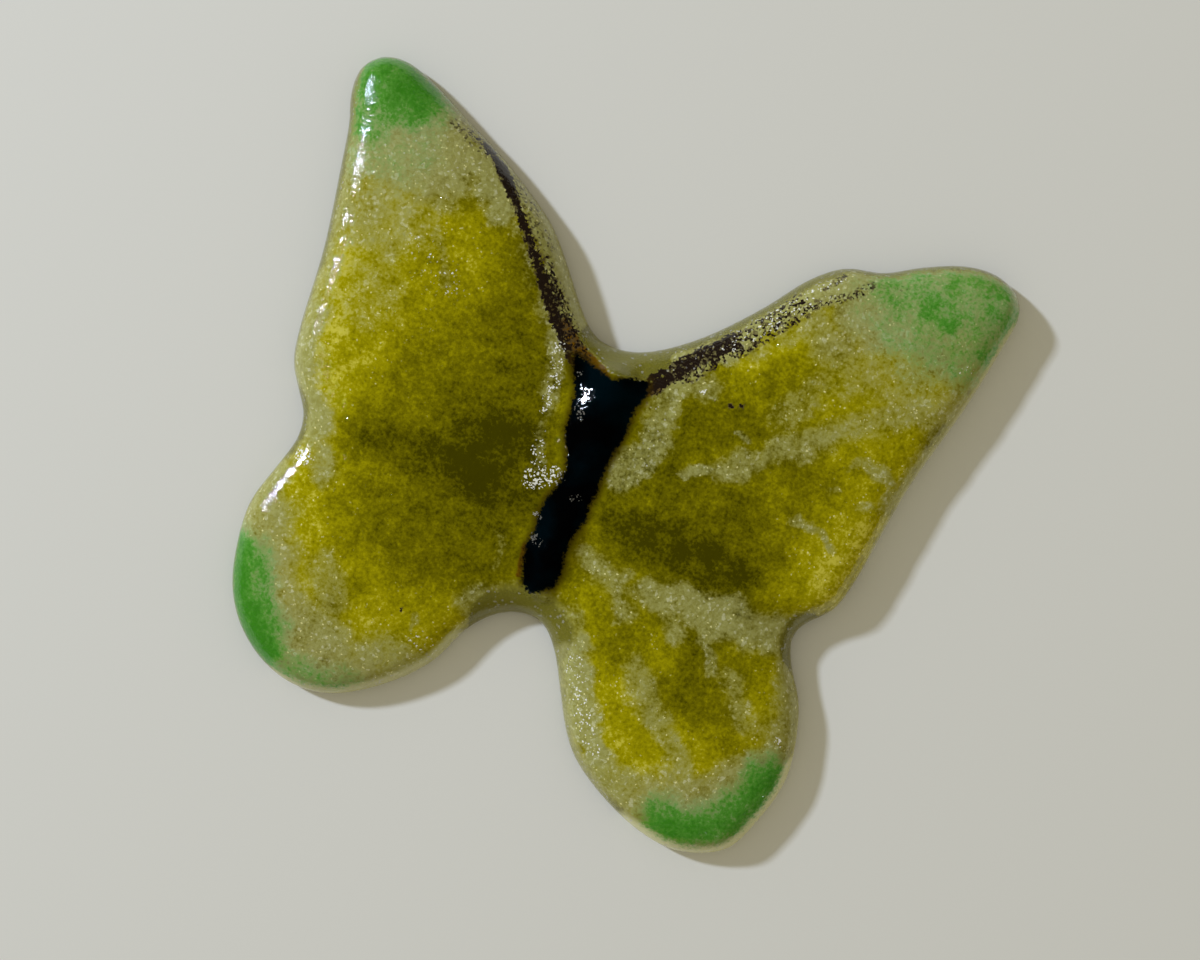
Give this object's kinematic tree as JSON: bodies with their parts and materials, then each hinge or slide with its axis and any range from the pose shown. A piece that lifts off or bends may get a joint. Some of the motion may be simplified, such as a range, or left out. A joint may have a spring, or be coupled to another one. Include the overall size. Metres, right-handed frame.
{
  "type": "cast glass butterfly",
  "caption": "Cast glass butterfly with coloured glass grains fused into its domed face, a clear rounded rim and a flat back.",
  "frame": {"origin": "centre of the butterfly's footprint, on the surface that its flat back lies on", "axes": "+Z out of the patterned face, +Y from the tail to the head, +X towards the wings on the right when the face is looked at with the head up"},
  "size_m": [0.0776, 0.0734, 0.0065],
  "materials": {
    "fused_glass": "glossy cast glass with fused colour grains"
  },
  "bodies": {
    "root": {"glass_butterfly": "fused_glass"}
  },
  "joints": []
}
